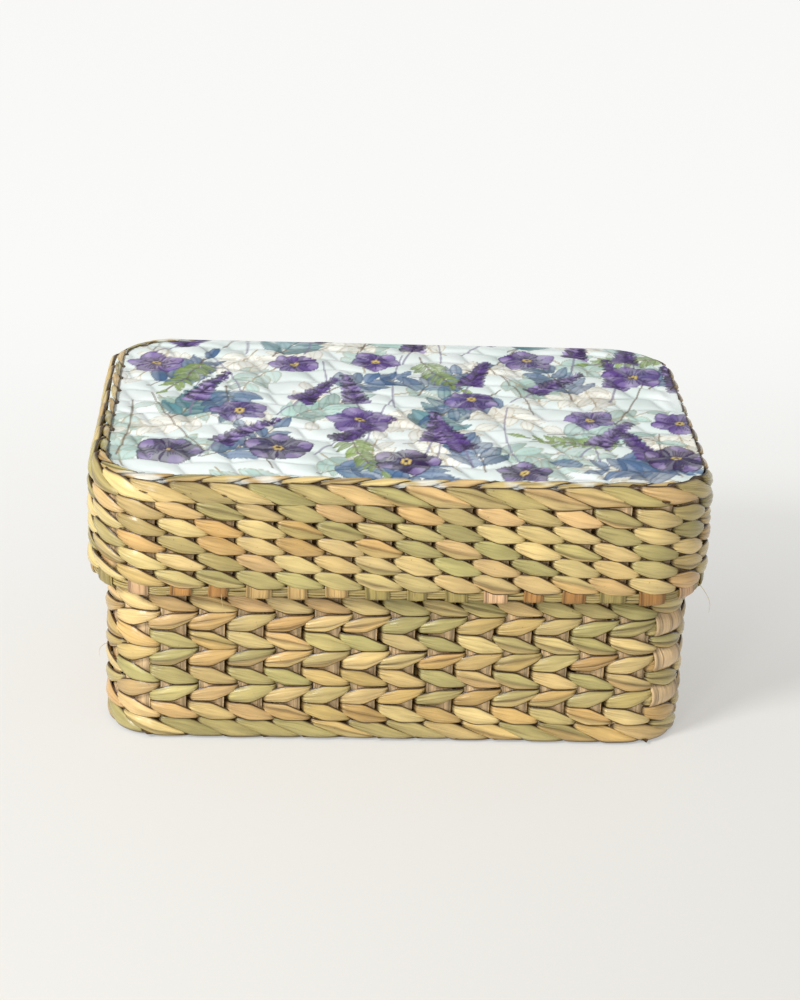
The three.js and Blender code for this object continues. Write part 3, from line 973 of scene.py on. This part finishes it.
    def spike(self, place, angle, long, bend, buds, stem):
        """Paint a flower spike with rings of buds on its upper part, smaller towards its tip."""
        self.stroke(place, angle, long, bend, 0.9 * MM, stem)
        rings = 11
        for ring in range(rings):
            share = 0.36 + 0.64 * ring / (rings - 1)
            spot, turn = self.along_stem(place, angle, long, bend, share)
            size = (6.4 - 3.6 * ring / (rings - 1)) * MM
            for lean in (-1.25, 1.25, -0.6, 0.6, 0.0):
                shade = np.asarray(buds[self.rng.integers(len(buds))]) * self.rng.uniform(0.85, 1.15)
                self.leaf(spot, turn + lean, size, size * 0.6, shade, 0.95, vein=0.0, belly=0.6, line=0.7)


def paint_print(x, y, inks, seed):
    """Paint the lid's paper: sprigs, grasses, flower spikes and blossoms strewn over pale leaves."""
    rng = np.random.default_rng(seed)
    art = Painting(x, y, inks.paper, rng)
    art.wash(np.arange(len(x)), np.array(inks.mint), np.clip(0.10 + 0.16 * art.blot, 0, 1))

    def strewn(columns, rows, shift):
        for column in range(columns):
            for row in range(rows):
                slip = shift if row % 2 else 0.0
                across = (column + 0.5 + slip + rng.uniform(-0.25, 0.25)) / columns * 2 - 1
                deep = (row + 0.5 + rng.uniform(-0.25, 0.25)) / rows * 2 - 1
                yield across * 118 * MM, deep * 84 * MM

    for place in strewn(8, 6, 0.5):
        pale = inks.cream if rng.random() < 0.65 else inks.mint
        art.sprig(place, rng.uniform(0, 6.3), 34 * MM, 4, 14 * MM, 7 * MM, rng.uniform(-0.4, 0.4), pale,
                  inks.ochre, strength=0.8, outline=inks.ochre, line=0.55, vein=0.25)
    for place in strewn(8, 3, 0.5):
        art.stroke(place, 1.57 + rng.uniform(-0.5, 0.5), rng.uniform(40, 70) * MM, rng.uniform(-0.3, 0.3),
                   0.7 * MM, inks.stem if rng.random() < 0.5 else inks.dusk, 0.8)
    leaf_inks = (inks.slate, inks.teal, inks.slate, inks.lime, inks.slate, inks.mint)
    for i, place in enumerate(strewn(7, 4, 0.5)):
        young = i % 6 == 3
        angle = 1.2 + rng.uniform(-1.0, 1.0) + (math.pi if i % 3 == 0 else 0)
        pairs, long, wide = (8, 10 * MM, 3.6 * MM) if young else (5, 17 * MM, 7 * MM)
        art.sprig(place, angle, 40 * MM, pairs, long, wide, rng.uniform(-0.45, 0.45), leaf_inks[i % 6],
                  inks.stem)
    for i, place in enumerate(strewn(7, 3, 0.5)):
        pale_buds = (inks.plum, inks.plum, inks.violet, inks.lilac)
        buds = pale_buds if i % 2 else (inks.plum, inks.violet, inks.violet)
        art.spike(place, 1.35 + rng.uniform(-0.5, 0.5), 46 * MM, rng.uniform(-0.3, 0.3), buds, inks.dusk)
    for i, place in enumerate(strewn(5, 3, 0.5)):
        petal = inks.violet if i % 3 else inks.plum
        art.blossom(place, rng.uniform(10.5, 14) * MM, rng.uniform(0, 6.3), petal, inks.lilac, inks.plum,
                    inks.anther)
    return art.colour


def paper_edge(y, low, high, half_x, radius):
    """Give half the sheet's width at a distance from the front, drawn in at its rounded corners."""
    beyond = np.maximum(0, np.maximum(low + radius - y, y - (high - radius)))
    return half_x - radius + np.sqrt(np.maximum(0, radius ** 2 - beyond ** 2))


def mat_relief(x, y, weave, rng):
    """Give the height of the mat under the paper, from 0 to 1, and how near a groove each point lies."""
    sway = 0.12 * np.sin(x / (8.5 * MM) + y / (31 * MM)) + 0.07 * np.sin(x / (3.6 * MM) + y / (9 * MM))
    deep = 1.75 * weave.mat_row
    down = y / deep + sway
    row = np.round(down).astype(int)
    dy = down - row
    shift = rng.uniform(-0.4, 0.4, 64)[row % 64] + 0.18 * np.sin(x / (17 * MM) + 2.1 * row)
    along = x / (1.2 * weave.stake_step) + 0.5 * (row % 2) + 0.25 * dy + shift
    stake = np.round(along).astype(int)
    dx = along - stake
    swell = rng.uniform(0.5, 1.0, (64, 64))[row % 64, stake % 64]
    from_edge = np.minimum((0.5 - np.abs(dy)) * deep, (0.5 - np.abs(dx)) * 0.7 * weave.stake_step)
    groove = np.exp(-from_edge / (1.2 * MM))
    return swell * (1 - groove) * (1 - 1.6 * dy * dy - 1.2 * dx * dx), groove


def lid_paper(weave, inks):
    """Make the sheet: a fine grid laid over the mat's relief, its front edge tucked under the thin row."""
    rng = np.random.default_rng(weave.seed + 90)
    low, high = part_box("lid_top_and_stakes")
    columns, rows = 470, 196
    share_x, share_y = np.meshgrid(np.linspace(-1, 1, columns + 1), np.linspace(0, 1, rows + 1))
    half_x = high[0] + 0.3 * MM
    front = low[1] + 6.6 * MM
    back = high[1] - 1.5 * MM
    left_corner, right_corner = 32 * MM, 25 * MM
    turn = np.linspace(-1, 1, columns + 1) * 40
    ragged = 0.35 * MM * (np.sin(turn * 0.5) + np.sin(turn * 1.1 + 1) + np.sin(turn * 2.3 + 2))
    y = (front + ragged[None, :]) * (1 - share_y) + back * share_y
    corner = np.where(share_x < 0, left_corner, right_corner)
    x = share_x * paper_edge(y, front - 1 * MM, back, half_x, corner)
    x = x + np.clip(-share_x, 0, 1) * (2.8 + 3.0 * (1 - share_y) ** 2) * MM
    x = x - np.clip(share_x, 0, 1) * (1.8 + 1.4 * (1 - share_y)) * MM
    flat_x, flat_y = x.ravel(), y.ravel()

    centre_x, centre_y = corner_centres(weave)
    outer = high[0] - centre_x
    away_x = np.abs(flat_x) - centre_x
    away_y = np.abs(flat_y) - centre_y
    edge = outer - np.hypot(np.maximum(away_x, 0), np.maximum(away_y, 0))
    edge = np.where(edge < outer, edge, np.minimum(outer - away_x, outer - away_y))
    on_mat = smooth((edge - 5 * MM) / (5 * MM))
    relief, groove = mat_relief(flat_x, flat_y, weave, rng)
    height = high[2] + 0.15 * MM + 1.7 * MM * relief * on_mat
    height += 0.7 * MM * (1 - on_mat)
    height -= 3.4 * MM * np.clip(1 - edge / (3.2 * MM), 0, 1) ** 2
    height -= 1.3 * MM * np.clip(1 - (flat_y - front) / (2.6 * MM), 0, 1) ** 1.5

    reeds = Reeds()
    points = np.stack([flat_x, flat_y, height], axis=1).reshape(rows + 1, columns + 1, 3)
    tint = paint_print(flat_x, flat_y, inks, weave.seed + 91)
    torn = np.exp(-(flat_y - (front + np.tile(ragged, rows + 1))) / (0.7 * MM))[:, None] * 0.6
    # Painted shade: the paper darkens in the grooves between the pads of the mat under it.
    tint = tint * (1 - 0.22 * (groove ** 2 * on_mat)[:, None])
    tint = (tint * (1 - torn) + np.array(inks.paper) * torn).reshape(points.shape)
    grain = np.stack([share_x, share_y], axis=-1)
    reeds.add(points, grain, tint, 0.0)
    piece = reeds.make("lid_paper", paper_material(), "lid", "print_paper", "lid_print_sheet")
    close_under(piece.data, high[2] - 0.3 * MM)
    return piece


def close_under(mesh, level):
    """Close a sheet by a skirt down from its edge and one flat face under it."""
    bm = bmesh.new()
    bm.from_mesh(mesh)
    edges = [edge for edge in bm.edges if edge.is_boundary]
    made = bmesh.ops.extrude_edge_only(bm, edges=edges)["geom"]
    for vertex in (item for item in made if isinstance(item, bmesh.types.BMVert)):
        vertex.co.z = min(vertex.co.z - 0.3 * MM, level)
    rim = [edge for edge in bm.edges if edge.is_boundary]
    bmesh.ops.contextual_create(bm, geom=rim)
    bmesh.ops.recalc_face_normals(bm, faces=bm.faces)
    bm.to_mesh(mesh)
    bm.free()


# Operators


def row_names(owner):
    """Give the names of a wall's twined rows, as its nodes have them."""
    count = sum(node.startswith(f"{owner}_row_") and node.endswith("_outer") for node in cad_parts)
    return [f"{owner}_row_{row:02d}" for row in range(1, count + 1)]


def make_row(weave, colours, owner, name, lay, seed):
    """Twine one row of a wall in place of its two nodes."""
    path = wall_path(weave, owner)
    rng = np.random.default_rng(weave.seed + seed)
    reeds = twined_row(path, lay, node_middle(f"{name}_outer"), stake_count(weave, path), rng, colours)
    reeds.make(name, weft_material(colours), owner, "weft_reed", f"{name}_outer", f"{name}_inner")


class BoxRowsOperator(bpy.types.Operator):
    """Twine the rows of the box's wall, each with its slant against its neighbours'"""

    bl_idname = "reed_box.box_rows"
    bl_label = "Box Rows"

    def execute(self, context):
        weave = context.scene.reed_weave
        lid_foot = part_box("lid_rim_reed_lower")[0][2]
        for row, name in enumerate(row_names("box"), start=1):
            belly = weave.belly if node_middle(f"{name}_outer") < lid_foot else 0.0
            lay = row_lay(weave, -1 if row % 2 else 1, weave.leaf_height, belly)
            make_row(weave, context.scene.reed_colours, "box", name, lay, 100 + row)
        return {"FINISHED"}


class LidRowsOperator(bpy.types.Operator):
    """Twine the rows of the lid's wall, which all slant the same way"""

    bl_idname = "reed_box.lid_rows"
    bl_label = "Lid Rows"

    def execute(self, context):
        weave = context.scene.reed_weave
        lay = row_lay(weave, -1, weave.lid_leaf_height, weave.belly)
        for row, name in enumerate(row_names("lid"), start=1):
            make_row(weave, context.scene.reed_colours, "lid", name, lay, 200 + row)
        return {"FINISHED"}


def stand_flat(reeds, shade_and_speck):
    """Press the reeds flat where the box stands on them, never below its foot, and paint a contact shadow on
    them there.
    """
    soft = 0.8 * MM
    dark_below = 2.0 * MM
    for index, points in enumerate(reeds.points):
        height = points[..., 2]
        points[..., 2] = np.where(height > soft, height, soft * np.exp(np.minimum(height / soft - 1, 0)))
        # Painted shadow: the reeds turn dark brown below about 2 mm, where the box's contact shadow falls on
        # them.
        dark = 0.85 * smooth((dark_below - points[..., 2]) / (1.2 * MM))[..., None]
        reeds.tint[index] = reeds.tint[index] * (1 - dark) + np.array(shade_and_speck) * dark


def smear_paint(reeds, paint):
    """Smear pale paint from the paper's edge over parts of a row."""
    for index, points in enumerate(reeds.points):
        x, y = points[..., 0], points[..., 1]
        patch = np.sin(x / (5.1 * MM)) + np.sin(x / (8.3 * MM) + 1) + np.sin(x / (2.3 * MM) + y / (1.1 * MM))
        share = 0.6 * smooth(patch - 0.5)[..., None]
        reeds.tint[index] = reeds.tint[index] * (1 - share) + np.array(paint) * share


def border_lay(half, tilt=0.0):
    """Give the lay of a border of three strands, whose long strips lie close."""
    return Lay(strands=3, half=half, reach=1.3 * MM, blunt=2.6 * MM, tip=1.5 * MM, thick=1.7 * MM,
               slant=-1, tilt=tilt, outside=0.62, flat=0.40, low=0.46, come=0.06, dive=0.14,
               belly=0.5 * MM, back_height=0.5, showing=22, hidden=8, front_sides=18)


class BoxBorderOperator(bpy.types.Operator):
    """Twine the three-strand border round the foot of the box"""

    bl_idname = "reed_box.box_border"
    bl_label = "Box Border"

    def execute(self, context):
        weave = context.scene.reed_weave
        colours = context.scene.reed_colours
        path = wall_path(weave, "box")
        starts = 3 * round(stake_count(weave, path) / 3)
        lay = border_lay(half=4.25 * MM)
        rng = np.random.default_rng(weave.seed + 300)
        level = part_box("box_border_outer")[0][2] + lay.half + 0.1 * MM
        reeds = twined_row(path, lay, level, starts, rng, colours)
        stand_flat(reeds, colours.shade_and_speck)
        reeds.make("box_border", border_material(colours), "box", "border_reed", "box_border_outer",
                   "box_border_inner")
        return {"FINISHED"}


class LidBorderOperator(bpy.types.Operator):
    """Twine the three-strand border that rolls over the lid's edge, and the thin row beside the paper"""

    bl_idname = "reed_box.lid_border"
    bl_label = "Lid Border"

    def execute(self, context):
        weave = context.scene.reed_weave
        colours = context.scene.reed_colours
        path = wall_path(weave, "lid")
        stakes = stake_count(weave, path)
        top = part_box("lid_border_outer")[1][2]
        rng = np.random.default_rng(weave.seed + 310)

        def settle(points):
            x, y = points[:, 0:1], points[:, 1:2]
            front = smooth((-y - 58 * MM) / (16 * MM))
            back = smooth((y - 58 * MM) / (16 * MM))
            right = smooth((x - 55 * MM) / (25 * MM))
            left = smooth((20 * MM - y) / (90 * MM)) * (x < 0)
            rise = front * (1.6 * right - 0.9) + (1 - front - back) * (1.2 * left - 1.4) - 2.2 * back
            return rise * MM * np.array([0.0, 0.0, 1.0])

        def sink(points):
            x, y = points[:, 0:1], points[:, 1:2]
            front = smooth((-y - 66 * MM) / (10 * MM))
            left = smooth((-x - 70 * MM) / (20 * MM)) * (0.6 + 0.4 * smooth((-y - 44 * MM) / (16 * MM)))
            return (-2.8 * (1 - np.maximum(front, left)) + 0.8) * MM * np.array([0.0, 0.0, 1.0])

        lay = border_lay(half=4.2 * MM, tilt=math.radians(14))
        starts = 3 * round(stakes / 3)
        reeds = twined_row(path, lay, top - 4.0 * MM, starts, rng, colours, offset=settle)
        reeds.make("lid_border", border_material(colours), "lid", "border_reed", "lid_border_outer",
                   "lid_border_inner")

        edge = WallPath(path.centre_x, path.centre_y, path.radius - 1.6 * MM)
        thin = Lay(strands=2, half=2.0 * MM, reach=0.7 * MM, blunt=1.8 * MM, tip=0.8 * MM, thick=0.9 * MM,
                   slant=1, tilt=math.radians(60), showing=11, hidden=5, front_sides=10, back_sides=5)
        reeds = twined_row(edge, thin, top - 1.8 * MM, stakes, rng, colours, offset=sink)
        smear_paint(reeds, context.scene.lid_inks.paper)
        reeds.make("lid_edge_row", border_material(colours), "lid", "border_reed")
        return {"FINISHED"}


class StakesOperator(bpy.types.Operator):
    """Set up the stakes of the box and of the lid, with their ends wrapped round the rims"""

    bl_idname = "reed_box.stakes"
    bl_label = "Stakes"

    def execute(self, context):
        weave = context.scene.reed_weave
        colours = context.scene.reed_colours
        wrap = 7.5 * MM
        for owner, node, way in (("box", "box_floor_and_stakes", 1), ("lid", "lid_top_and_stakes", -1)):
            low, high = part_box(node)
            start, end = (low[2], high[2]) if way > 0 else (high[2], low[2])
            reeds = stake_piece(weave, colours, owner, stake_line(start, end), end - wrap * way, way)
            reeds.make(f"{owner}_stakes", stake_material(colours), owner, "stake_reed", node)
        return {"FINISHED"}


class RimsOperator(bpy.types.Operator):
    """Lay the thin reeds in the wraps of both rims"""

    bl_idname = "reed_box.rims"
    bl_label = "Rim Reeds"

    def execute(self, context):
        weave = context.scene.reed_weave
        colours = context.scene.reed_colours
        for owner in ("box", "lid"):
            make_rim_reeds(weave, colours, owner)
        return {"FINISHED"}


class FibresOperator(bpy.types.Operator):
    """Leave a few fine fibres loose, as the weaver did"""

    bl_idname = "reed_box.fibres"
    bl_label = "Loose Fibres"

    def execute(self, context):
        colours = context.scene.reed_colours
        lines = {
            "lid": [[(-66, -81.0, 66), (-65.6, -83.2, 61), (-65.0, -83.4, 57), (-63.6, -83.0, 54.5)],
                    [(108, -63, 67), (114, -66, 61), (117, -67, 56), (116.5, -68, 52)]],
            "box": [[(-106.0, -46, 25), (-110.5, -48, 26), (-113.0, -50, 24), (-112.4, -51, 21.5)],
                    [(30, -74.5, 40), (31, -77.2, 38.5), (33, -77.4, 39), (35, -76.8, 38)]],
        }
        for owner, fibres in lines.items():
            reeds = Reeds()
            for points in fibres:
                loose_fibre(reeds, points, 0.28 * MM, colours.straw)
            reeds.make(f"{owner}_loose_fibres", weft_material(colours), owner, "weft_reed")
        return {"FINISHED"}


class MatsOperator(bpy.types.Operator):
    """Twine the box's floor and the mat under the lid's paper"""

    bl_idname = "reed_box.mats"
    bl_label = "Mats"

    def execute(self, context):
        weave = context.scene.reed_weave
        colours = context.scene.reed_colours
        centre_x, centre_y = corner_centres(weave)
        floor_thick = 3.7 * MM
        lid_thick = 3.3 * MM
        lid_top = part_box("lid_top_and_stakes")[1][2]
        mats = (("box", floor_thick, 0.1 * MM), ("lid", lid_thick, lid_top - 0.6 * MM - lid_thick))
        for index, (owner, thick, bottom) in enumerate(mats):
            radius = wall_path(weave, owner).radius
            level = bottom + thick / 2
            half_x = centre_x + radius + 1.2 * MM
            half_y = centre_y + radius - 2.5 * MM
            corner = radius - 3 * MM
            reeds = mat_piece(weave, colours, level, thick / 2, half_x, half_y, corner, 60 + index)
            rng = np.random.default_rng(weave.seed)
            mat_stakes(reeds, weave, colours, level, half_x, half_y, corner, rng)
            reeds.make(f"{owner}_mat", weft_material(colours), owner, "weft_reed")
        return {"FINISHED"}


class PaperOperator(bpy.types.Operator):
    """Paste the printed paper on the lid"""

    bl_idname = "reed_box.paper"
    bl_label = "Printed Paper"

    def execute(self, context):
        lid_paper(context.scene.reed_weave, context.scene.lid_inks)
        return {"FINISHED"}


class StageOperator(bpy.types.Operator):
    """Set the pale floor, the lamps and the camera"""

    bl_idname = "reed_box.stage"
    bl_label = "Stage"

    def execute(self, context):
        stage = context.scene.reed_stage
        self.lay_floor(stage)
        self.light(context, stage)
        self.set_camera(context, stage)
        context.scene.view_settings.view_transform = "Standard"
        return {"FINISHED"}

    def lay_floor(self, stage):
        bm = bmesh.new()
        under = Matrix.Translation((0, 0, -0.3 * MM))
        bmesh.ops.create_grid(bm, x_segments=1, y_segments=1, size=4.0, matrix=under)
        mesh = bpy.data.meshes.new("floor")
        bm.to_mesh(mesh)
        bm.free()
        mesh.materials.append(self.floor_material(stage))
        floor = bpy.data.objects.new("floor", mesh)
        bpy.context.scene.collection.objects.link(floor)

    def floor_material(self, stage):
        """Pale paper that looks brighter towards the back, as it would in a lit studio."""
        material, tree, shader = new_material("pale_floor")
        place = add_node(tree, "ShaderNodeTexCoord").outputs["Object"]
        back = add_node(tree, "ShaderNodeSeparateXYZ", (place, 0)).outputs["Y"]
        pale = mixed(tree, ranged(tree, back, -0.25, 0.35), (*stage.floor, 1.0), (*stage.far, 1.0))
        feed(tree, shader, (pale, "Base Color"), (0.9, "Roughness"), (0.1, "Specular IOR Level"))
        glow = add_node(tree, "ShaderNodeEmission", (pale, "Color")).outputs[0]
        rays = add_node(tree, "ShaderNodeLightPath").outputs
        seen = add_node(tree, "ShaderNodeMath", (rays["Is Camera Ray"], 0), (rays["Is Glossy Ray"], 1),
                        operation="MAXIMUM").outputs[0]
        share = product(tree, seen, ranged(tree, back, -0.25, 0.45, 0.30, 0.92))
        both = add_node(tree, "ShaderNodeMixShader", (share, "Fac"), (shader.outputs[0], 1), (glow, 2))
        feed(tree, tree.nodes["Material Output"], (both.outputs[0], "Surface"))
        return material

    def light(self, context, stage):
        world = bpy.data.worlds.new("studio")
        context.scene.world = world
        world.use_nodes = True
        tree = world.node_tree
        rays = add_node(tree, "ShaderNodeLightPath").outputs["Is Camera Ray"]
        feed(tree, tree.nodes["Background"], (ranged(tree, rays, 0.0, 1.0, stage.sky, 1.0), "Strength"),
             ((1.0, 1.0, 1.0, 1.0), "Color"))
        middle = Vector((0, 0, 0.05))
        for name, place, size, power in (("key", (-1.00, -0.95, 1.15), 0.5, stage.key_power),
                                         ("fill", (-0.55, -1.30, 0.58), 0.3, stage.fill_power)):
            lamp = bpy.data.lights.new(name, "AREA")
            lamp.shape = "DISK"
            lamp.size = size
            lamp.energy = power
            holder = bpy.data.objects.new(name, lamp)
            holder.location = place
            holder.rotation_euler = (middle - Vector(place)).to_track_quat("-Z", "Y").to_euler()
            context.scene.collection.objects.link(holder)

    def set_camera(self, context, stage):
        yaw, pitch, roll = stage.camera_turn
        look = Vector((math.sin(yaw) * math.cos(pitch), math.cos(yaw) * math.cos(pitch), -math.sin(pitch)))
        level = Vector((math.cos(yaw), -math.sin(yaw), 0))
        upward = level.cross(look)
        right = level * math.cos(roll) + upward * math.sin(roll)
        up = upward * math.cos(roll) - level * math.sin(roll)
        camera = bpy.data.cameras.new("camera")
        camera.lens = stage.lens
        camera.sensor_width = 36.0
        holder = bpy.data.objects.new("camera", camera)
        turn = Matrix((right, up, -look)).transposed().to_4x4()
        holder.matrix_world = Matrix.Translation(stage.camera_place) @ turn
        context.scene.collection.objects.link(holder)
        context.scene.camera = holder


class ReedBoxPanel(bpy.types.Panel):
    """Lists the steps and the settings of the woven box"""

    bl_idname = "VIEW3D_PT_reed_box"
    bl_label = "Twined Reed Box"
    bl_space_type = "VIEW_3D"
    bl_region_type = "UI"
    bl_category = "Reed Box"

    def draw(self, context):
        for operator in OPERATORS:
            self.layout.operator(operator.bl_idname)
        for settings in (context.scene.reed_weave, context.scene.reed_colours, context.scene.lid_inks,
                         context.scene.reed_stage):
            box = self.layout.box()
            for name in settings.__annotations__:
                box.prop(settings, name)


GROUPS = {"reed_weave": WeaveSettings, "reed_colours": ReedColours, "lid_inks": PrintColours,
          "reed_stage": StageSettings}
OPERATORS = (StageOperator, BoxRowsOperator, LidRowsOperator, BoxBorderOperator, LidBorderOperator,
             StakesOperator, RimsOperator, FibresOperator, MatsOperator, PaperOperator)
CLASSES = (*GROUPS.values(), *OPERATORS, ReedBoxPanel)


def register():
    for cls in CLASSES:
        bpy.utils.register_class(cls)
    for name, group in GROUPS.items():
        setattr(bpy.types.Scene, name, PointerProperty(type=group))


def unregister():
    for name in GROUPS:
        delattr(bpy.types.Scene, name)
    for cls in reversed(CLASSES):
        bpy.utils.unregister_class(cls)


def main():
    """Build the whole object."""
    register()
    for operator in OPERATORS:
        group, name = operator.bl_idname.split(".")
        getattr(getattr(bpy.ops, group), name)()


if __name__ == "__main__":
    main()
